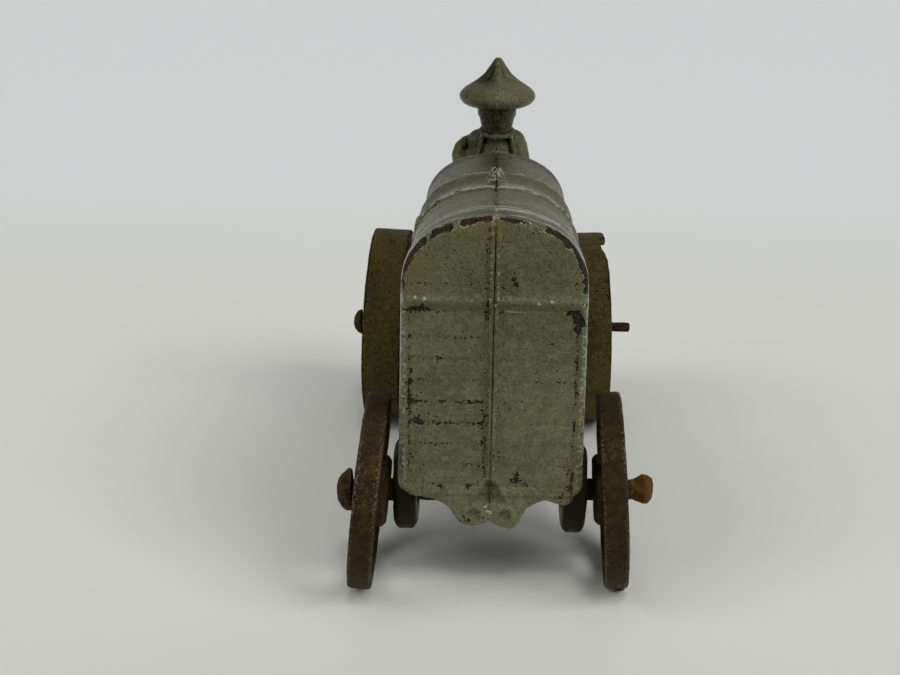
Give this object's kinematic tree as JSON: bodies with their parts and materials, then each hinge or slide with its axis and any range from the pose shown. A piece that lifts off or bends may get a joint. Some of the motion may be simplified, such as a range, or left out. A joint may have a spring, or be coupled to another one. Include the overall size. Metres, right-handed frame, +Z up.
{
  "type": "cast iron toy tractor",
  "caption": "Toy tractor in split cast-iron halves with a seated driver, rolling on spoked wheels that sit loose on plain axles.",
  "frame": {"origin": "on the floor under the middle of the tractor's bounding box; the two body castings meet on the plane X = 0", "axes": "+Z up, -Y the way the tractor drives (the radiator's side), +X the driver's left"},
  "size_m": [0.0483, 0.0882, 0.0621],
  "materials": {
    "body_paint": "worn grey-green enamel over rough cast iron",
    "wheel_paint": "dull olive-brown paint, dirty and rubbed",
    "bare_iron": "dark brown rusty patina, rubbed at the edges",
    "rusty_steel": "matt orange-brown rust"
  },
  "bodies": {
    "body": {"body_left_half": "body_paint", "body_right_half": "body_paint", "body_rivet": "bare_iron"},
    "front_axle": {"front_axle": "rusty_steel"},
    "rear_axle": {"rear_axle": "rusty_steel"},
    "front_wheel_left": {"front_wheel_left": "bare_iron"},
    "front_wheel_right": {"front_wheel_right": "bare_iron"},
    "rear_wheel_left": {"rear_wheel_left": "wheel_paint"},
    "rear_wheel_right": {"rear_wheel_right": "wheel_paint"}
  },
  "joints": [
    {"name": "front_axle_turn", "type": "hinge", "parent": "body", "child": "front_axle", "pos_m": [0, -0.0307, 0.0125], "axis": [0.998, 0.0628, 0], "continuous": true},
    {"name": "rear_axle_turn", "type": "hinge", "parent": "body", "child": "rear_axle", "pos_m": [0, 0.0278, 0.0164], "axis": [1, 0, 0], "continuous": true},
    {"name": "front_wheel_left_spin", "type": "hinge", "parent": "body", "child": "front_wheel_left", "pos_m": [0.01575, -0.02971, 0.0125], "axis": [0.9959, -0.047, 0.0767], "continuous": true},
    {"name": "front_wheel_right_spin", "type": "hinge", "parent": "body", "child": "front_wheel_right", "pos_m": [-0.0153, -0.03166, 0.0125], "axis": [-0.9955, -0.0226, 0.0924], "continuous": true},
    {"name": "rear_wheel_left_spin", "type": "hinge", "parent": "body", "child": "rear_wheel_left", "pos_m": [0.0162, 0.0278, 0.01639], "axis": [0.9994, 0, 0.0349], "continuous": true},
    {"name": "rear_wheel_right_spin", "type": "hinge", "parent": "body", "child": "rear_wheel_right", "pos_m": [-0.018, 0.0278, 0.01639], "axis": [-0.9994, 0, 0.0349], "continuous": true}
  ]
}
